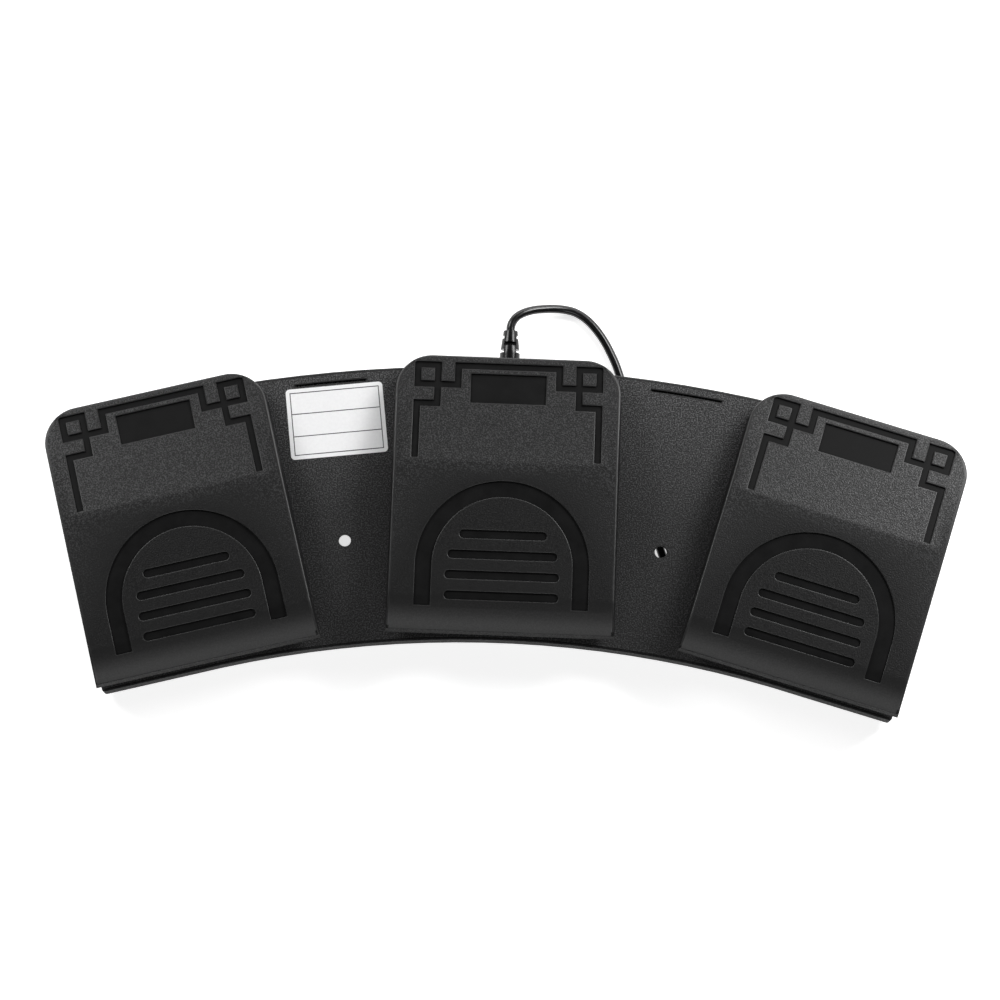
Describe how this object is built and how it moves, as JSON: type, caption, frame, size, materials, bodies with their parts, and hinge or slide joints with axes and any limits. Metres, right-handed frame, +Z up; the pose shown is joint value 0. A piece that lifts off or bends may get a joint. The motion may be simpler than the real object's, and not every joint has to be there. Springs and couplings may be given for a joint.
{
  "type": "usb foot pedal switch",
  "caption": "Foot switch with sprung, rear-hinged pedals fanned on an arched base, each pressing a microswitch, and a USB cord whose slack is coiled under the base.",
  "frame": {"origin": "on the floor under the feet, midway across the base and midway from the base's front corners to the rear of the centre pedal", "axes": "+Z up, +Y to the rear where the cord leaves, +X to the right as the user's feet point"},
  "size_m": [0.342, 0.1533, 0.0312],
  "materials": {
    "base_plastic": "satin, fine spark-eroded texture",
    "pedal_plastic": "satin, fine spark-eroded texture",
    "rubber": "matte",
    "label": "satin silver-white film",
    "steel": "bright",
    "spring_steel": "bright drawn wire",
    "board": "solder mask",
    "chip": "matte",
    "header": "satin",
    "switch_plastic": "satin",
    "button_plastic": "satin",
    "lead": "satin",
    "cord": "satin jacket",
    "relief": "satin",
    "tie": "satin",
    "plug_plastic": "satin",
    "plug_metal": "bright nickel",
    "plug_insert": "satin white"
  },
  "bodies": {
    "base": {"base": "base_plastic", "rubber_feet": "rubber", "blank_label": "label", "left_hinge_pin": "steel", "centre_hinge_pin": "steel", "right_hinge_pin": "steel", "left_spring": "spring_steel", "centre_spring": "spring_steel", "right_spring": "spring_steel", "left_switch_board": "board", "centre_switch_board": "board", "right_switch_board": "board", "left_switch": "switch_plastic", "centre_switch": "switch_plastic", "right_switch": "switch_plastic", "stop_pads": "rubber", "main_board": "board", "control_chip": "chip", "lead_headers": "header", "board_screws": "steel", "left_lead": "lead", "right_lead": "lead", "inner_cord": "cord", "strain_relief": "relief", "cord_run": "cord", "cord_coil": "cord", "cord_tail": "cord", "cord_tie": "tie", "plug_grip": "plug_plastic", "plug_shell": "plug_metal", "plug_tongue": "plug_insert"},
    "left_pedal": {"left_pedal": "pedal_plastic"},
    "centre_pedal": {"centre_pedal": "pedal_plastic"},
    "right_pedal": {"right_pedal": "pedal_plastic"},
    "left_button": {"left_button": "button_plastic"},
    "centre_button": {"centre_button": "button_plastic"},
    "right_button": {"right_button": "button_plastic"}
  },
  "joints": [
    {"name": "left_press", "type": "hinge", "parent": "base", "child": "left_pedal", "pos_m": [-0.13057, 0.03651, 0.0187], "axis": [0.9659, 0.2588, 0], "range_deg": [0, 3.5], "stiffness_Nm_per_rad": 6, "springref_deg": -4.58, "deforming": ["left_spring"]},
    {"name": "centre_press", "type": "hinge", "parent": "base", "child": "centre_pedal", "pos_m": [0, 0.0537, 0.0187], "axis": [1, 0, 0], "range_deg": [0, 3.5], "stiffness_Nm_per_rad": 6, "springref_deg": -4.58, "deforming": ["centre_spring"]},
    {"name": "right_press", "type": "hinge", "parent": "base", "child": "right_pedal", "pos_m": [0.13057, 0.03651, 0.0187], "axis": [0.9659, -0.2588, 0], "range_deg": [0, 3.5], "stiffness_Nm_per_rad": 6, "springref_deg": -4.58, "deforming": ["right_spring"]},
    {"name": "left_click", "type": "slide", "parent": "base", "child": "left_button", "axis": [0, 0, -1], "range_m": [0, 0.00116]},
    {"name": "centre_click", "type": "slide", "parent": "base", "child": "centre_button", "axis": [0, 0, -1], "range_m": [0, 0.00116]},
    {"name": "right_click", "type": "slide", "parent": "base", "child": "right_button", "axis": [0, 0, -1], "range_m": [0, 0.00116]}
  ],
  "couplings": [
    {"joint": "left_click", "follows": "left_press", "m_per_rad": 0.019},
    {"joint": "centre_click", "follows": "centre_press", "m_per_rad": 0.019},
    {"joint": "right_click", "follows": "right_press", "m_per_rad": 0.019}
  ]
}
